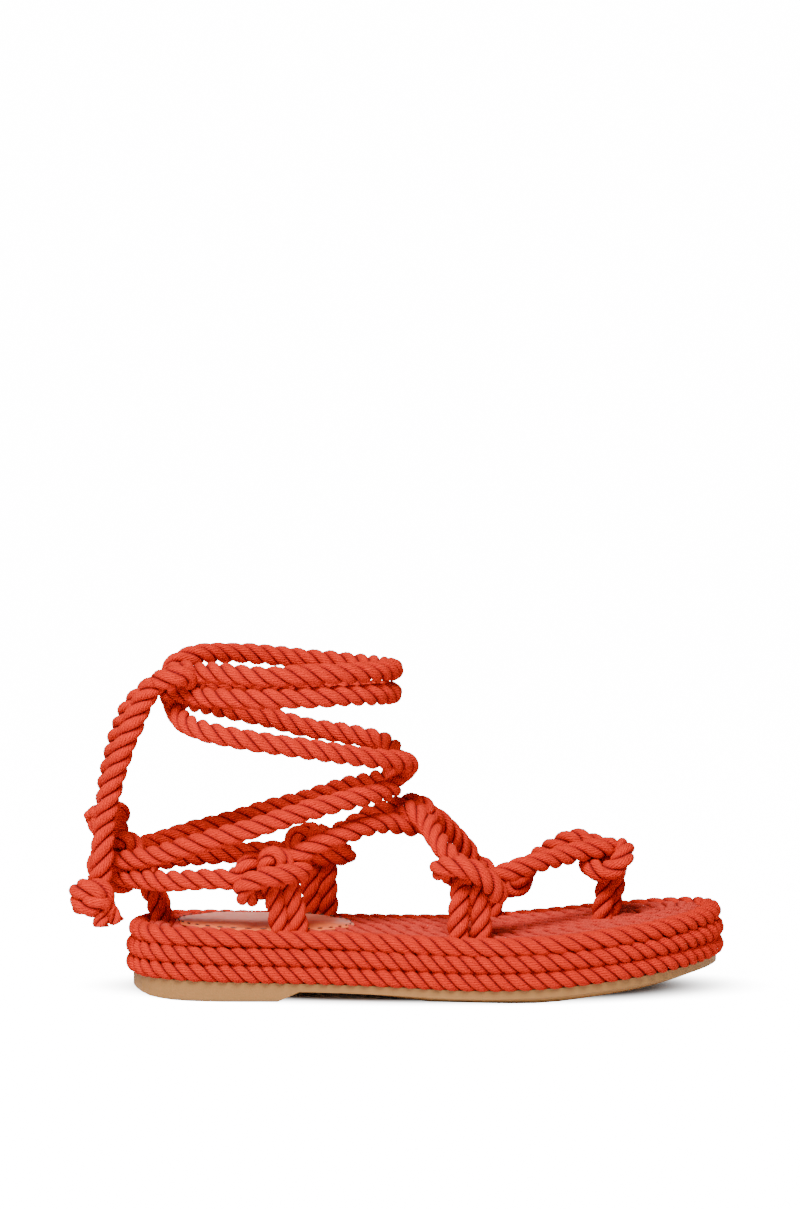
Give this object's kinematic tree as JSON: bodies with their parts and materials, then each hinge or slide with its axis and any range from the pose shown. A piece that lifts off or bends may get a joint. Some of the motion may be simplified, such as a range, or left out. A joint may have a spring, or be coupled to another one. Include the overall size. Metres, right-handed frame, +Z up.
{
  "type": "rope sandal",
  "caption": "Flat thong sandal of twisted cotton rope with a coiled rope sole, rubber outsole, leather heel sock, knotted side loops and ropes tied round the ankle.",
  "frame": {"origin": "on the floor, in the middle of the heel's flat tread", "axes": "+X from heel to toe, +Y to the inner (medial) side, +Z up"},
  "size_m": [0.2854, 0.0937, 0.1508],
  "materials": {
    "outsole_rubber": "fine matt texture",
    "sole_rope": "three-strand cotton rope",
    "sock_leather": "glossy",
    "strap_rope": "three-strand cotton rope"
  },
  "bodies": {
    "root": {"outsole": "outsole_rubber", "coil_lower": "sole_rope", "coil_middle": "sole_rope", "footbed_coil": "sole_rope", "heel_sock": "sock_leather", "upper_straps": "strap_rope", "ankle_ties": "strap_rope", "tie_knot": "strap_rope", "tie_tail_lateral": "strap_rope", "tie_tail_medial": "strap_rope", "stopper_knot_lateral": "strap_rope", "stopper_knot_medial": "strap_rope"}
  },
  "joints": []
}
